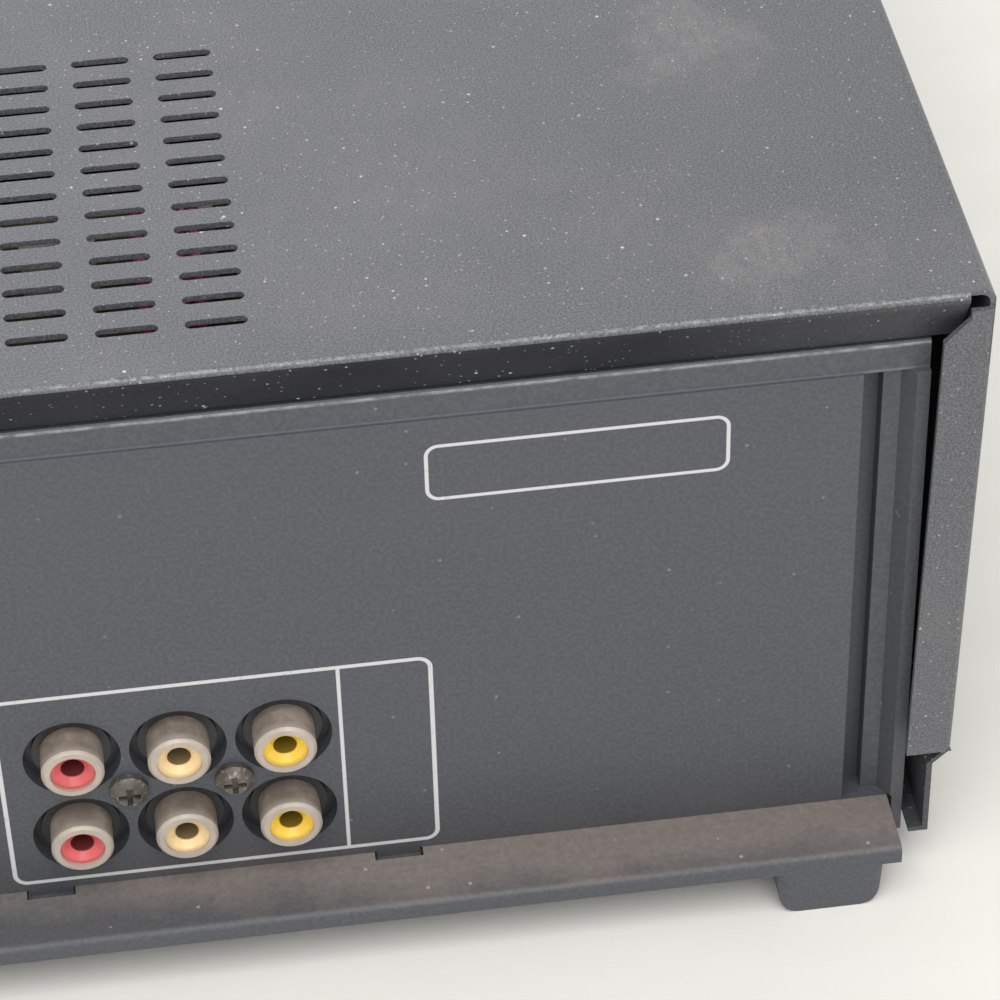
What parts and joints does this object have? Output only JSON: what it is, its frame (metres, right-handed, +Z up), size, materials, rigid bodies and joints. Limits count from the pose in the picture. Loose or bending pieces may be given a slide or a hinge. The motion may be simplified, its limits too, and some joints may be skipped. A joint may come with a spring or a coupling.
{
  "type": "video cassette recorder",
  "caption": "Front-loading video cassette recorder: folded steel cover with a vent grille, moulded chassis and rear panel with phono jacks, cassette lift and tape transport.",
  "frame": {"origin": "centre of the footprint, on the surface the feet stand on", "axes": "+X to the right seen from the front, +Y to the rear panel, +Z up"},
  "size_m": [0.4352, 0.35, 0.0994],
  "materials": {
    "charcoal_paint": "fine texture paint, satin",
    "black_screw": "blackened",
    "dark_moulding": "moulded, fine grain",
    "rear_moulding": "moulded, fine grain",
    "black_plastic": "moulded",
    "jack_metal": "tarnished nickel over brass",
    "insert_red": "moulded",
    "insert_cream": "moulded, aged",
    "insert_yellow": "moulded",
    "tinplate": "tinned sheet",
    "bezel_moulding": "moulded, fine grain",
    "smoked_window": "polished, smoked",
    "display_glass": "clear",
    "button_plastic": "moulded",
    "record_red": "moulded",
    "board_green": "solder resist",
    "connector_cream": "nylon",
    "board_tan": "phenolic",
    "wire_pink": "vinyl",
    "laminations": "varnished",
    "bare_aluminium": "extruded",
    "zinc_sheet": "zinc plated",
    "polished_drum": "diamond turned",
    "bearing_brass": "turned",
    "ground_steel": "ground",
    "roller_rubber": "ground",
    "white_acetal": "moulded"
  },
  "bodies": {
    "cabinet": {"top_cover": "charcoal_paint", "cover_screws": "black_screw", "chassis": "dark_moulding", "rear_panel": "rear_moulding", "jack_block": "black_plastic", "jack_shells": "jack_metal", "jack_inserts_red": "insert_red", "jack_inserts_cream": "insert_cream", "jack_inserts_yellow": "insert_yellow", "jack_screws": "black_screw", "rf_unit": "tinplate", "cord_gland": "black_plastic", "front_bezel": "bezel_moulding", "display_window": "smoked_window", "display_tube": "display_glass", "front_board": "board_green", "main_board": "board_green", "board_connectors": "connector_cream", "signal_board": "board_tan", "wire_loom": "wire_pink", "power_board": "board_tan", "transformer": "laminations", "heat_sink": "bare_aluminium", "deck_plate": "zinc_sheet", "deck_screws": "zinc_sheet", "lower_drum": "bare_aluminium", "capstan_bearing": "bearing_brass", "tape_heads": "ground_steel", "loading_motor": "zinc_sheet", "lift_frame": "zinc_sheet"},
    "door": {"cassette_door": "bezel_moulding"},
    "flap": {"control_flap": "bezel_moulding"},
    "tracking": {"tracking_knob": "button_plastic"},
    "channel_selector": {"channel_switch": "black_plastic"},
    "drum": {"upper_drum": "polished_drum"},
    "capstan_rotor": {"capstan": "ground_steel"},
    "pinch_lever": {"pinch_arm": "zinc_sheet"},
    "pinch_wheel": {"pinch_roller": "roller_rubber"},
    "supply_table": {"supply_reel": "white_acetal"},
    "takeup_table": {"takeup_reel": "white_acetal"},
    "idler_lever": {"idler_arm": "zinc_sheet"},
    "idler_wheel": {"idler_gear": "white_acetal"},
    "supply_carriage": {"supply_guide": "ground_steel"},
    "takeup_carriage": {"takeup_guide": "ground_steel"},
    "worm_shaft": {"worm": "white_acetal"},
    "cam": {"cam_gear": "white_acetal"},
    "slider": {"lift_slider": "zinc_sheet"},
    "holder": {"cassette_holder": "zinc_sheet"},
    "power": {"power_button": "button_plastic"},
    "eject": {"eject_button": "button_plastic"},
    "play": {"play_button": "button_plastic"},
    "stop": {"stop_button": "button_plastic"},
    "rewind": {"rewind_button": "button_plastic"},
    "forward": {"forward_button": "button_plastic"},
    "pause": {"pause_button": "button_plastic"},
    "record": {"record_button": "record_red"},
    "channel_up": {"channel_up_button": "button_plastic"},
    "channel_down": {"channel_down_button": "button_plastic"}
  },
  "joints": [
    {"name": "door_swing", "type": "hinge", "parent": "cabinet", "child": "door", "pos_m": [-0.08, -0.1712, 0.0858], "axis": [1, 0, 0], "range_deg": [0, 84], "stiffness_Nm_per_rad": 0.01},
    {"name": "flap_swing", "type": "hinge", "parent": "cabinet", "child": "flap", "pos_m": [-0.08, -0.1712, 0.0164], "axis": [1, 0, 0], "range_deg": [0, 90]},
    {"name": "tracking_turn", "type": "hinge", "parent": "cabinet", "child": "tracking", "pos_m": [-0.14, -0.162, 0.0296], "axis": [0, 1, 0], "range_deg": [-135, 135]},
    {"name": "channel_select", "type": "slide", "parent": "cabinet", "child": "channel_selector", "axis": [1, 0, 0], "range_m": [0, 0.004]},
    {"name": "power_press", "type": "slide", "parent": "cabinet", "child": "power", "axis": [0, 1, 0], "range_m": [0, 0.0015], "stiffness_N_per_m": 250},
    {"name": "eject_press", "type": "slide", "parent": "cabinet", "child": "eject", "axis": [0, 1, 0], "range_m": [0, 0.0015], "stiffness_N_per_m": 250},
    {"name": "play_press", "type": "slide", "parent": "cabinet", "child": "play", "axis": [0, 1, 0], "range_m": [0, 0.0015], "stiffness_N_per_m": 250},
    {"name": "stop_press", "type": "slide", "parent": "cabinet", "child": "stop", "axis": [0, 1, 0], "range_m": [0, 0.0015], "stiffness_N_per_m": 250},
    {"name": "rewind_press", "type": "slide", "parent": "cabinet", "child": "rewind", "axis": [0, 1, 0], "range_m": [0, 0.0015], "stiffness_N_per_m": 250},
    {"name": "forward_press", "type": "slide", "parent": "cabinet", "child": "forward", "axis": [0, 1, 0], "range_m": [0, 0.0015], "stiffness_N_per_m": 250},
    {"name": "pause_press", "type": "slide", "parent": "cabinet", "child": "pause", "axis": [0, 1, 0], "range_m": [0, 0.0015], "stiffness_N_per_m": 250},
    {"name": "record_press", "type": "slide", "parent": "cabinet", "child": "record", "axis": [0, 1, 0], "range_m": [0, 0.0015], "stiffness_N_per_m": 250},
    {"name": "channel_up_press", "type": "slide", "parent": "cabinet", "child": "channel_up", "axis": [0, 1, 0], "range_m": [0, 0.0015], "stiffness_N_per_m": 250},
    {"name": "channel_down_press", "type": "slide", "parent": "cabinet", "child": "channel_down", "axis": [0, 1, 0], "range_m": [0, 0.0015], "stiffness_N_per_m": 250},
    {"name": "drum_spin", "type": "hinge", "parent": "cabinet", "child": "drum", "pos_m": [-0.08, 0.062, 0.0456], "axis": [0, -0.0958, 0.9954], "continuous": true},
    {"name": "capstan_spin", "type": "hinge", "parent": "cabinet", "child": "capstan_rotor", "pos_m": [-0.018, 0.037, 0.03], "axis": [0, 0, 1], "continuous": true},
    {"name": "pinch_swing", "type": "hinge", "parent": "cabinet", "child": "pinch_lever", "pos_m": [0.006, 0.0463, 0.03], "axis": [0, 0, 1], "range_deg": [0, 25]},
    {"name": "pinch_spin", "type": "hinge", "parent": "pinch_lever", "child": "pinch_wheel", "pos_m": [-0.01575, 0.05644, 0.047], "axis": [0, 0, 1], "continuous": true},
    {"name": "supply_spin", "type": "hinge", "parent": "cabinet", "child": "supply_table", "pos_m": [-0.1261, -0.033, 0.03], "axis": [0, 0, 1], "continuous": true},
    {"name": "takeup_spin", "type": "hinge", "parent": "cabinet", "child": "takeup_table", "pos_m": [-0.0339, -0.033, 0.03], "axis": [0, 0, 1], "continuous": true},
    {"name": "idler_swing", "type": "hinge", "parent": "cabinet", "child": "idler_lever", "pos_m": [-0.08, -0.095, 0.027], "axis": [0, 0, 1], "range_deg": [-26, 26]},
    {"name": "idler_spin", "type": "hinge", "parent": "idler_lever", "child": "idler_wheel", "pos_m": [-0.08, -0.05, 0.028], "axis": [0, 0, 1], "continuous": true},
    {"name": "cam_turn", "type": "hinge", "parent": "cabinet", "child": "cam", "pos_m": [-0.154, 0.048, 0.028], "axis": [0, 0, 1], "range_deg": [0, 270]},
    {"name": "supply_load", "type": "slide", "parent": "cabinet", "child": "supply_carriage", "axis": [-0.1219, 0.9925, 0], "range_m": [0, 0.058]},
    {"name": "takeup_load", "type": "slide", "parent": "cabinet", "child": "takeup_carriage", "axis": [0.1219, 0.9925, 0], "range_m": [0, 0.058]},
    {"name": "worm_spin", "type": "hinge", "parent": "cabinet", "child": "worm_shaft", "pos_m": [-0.154, 0.0687, 0.0326], "axis": [1, 0, 0], "continuous": true},
    {"name": "slider_in", "type": "slide", "parent": "cabinet", "child": "slider", "axis": [0, 1, 0], "range_m": [0, 0.066]},
    {"name": "holder_down", "type": "slide", "parent": "slider", "child": "holder", "axis": [0, 0, -1], "range_m": [0, 0.022]}
  ],
  "couplings": [
    {"joint": "takeup_load", "follows": "supply_load", "ratio": 1},
    {"joint": "cam_turn", "follows": "supply_load", "rad_per_m": 81.256},
    {"joint": "worm_spin", "follows": "supply_load", "rad_per_m": -3737.8}
  ]
}
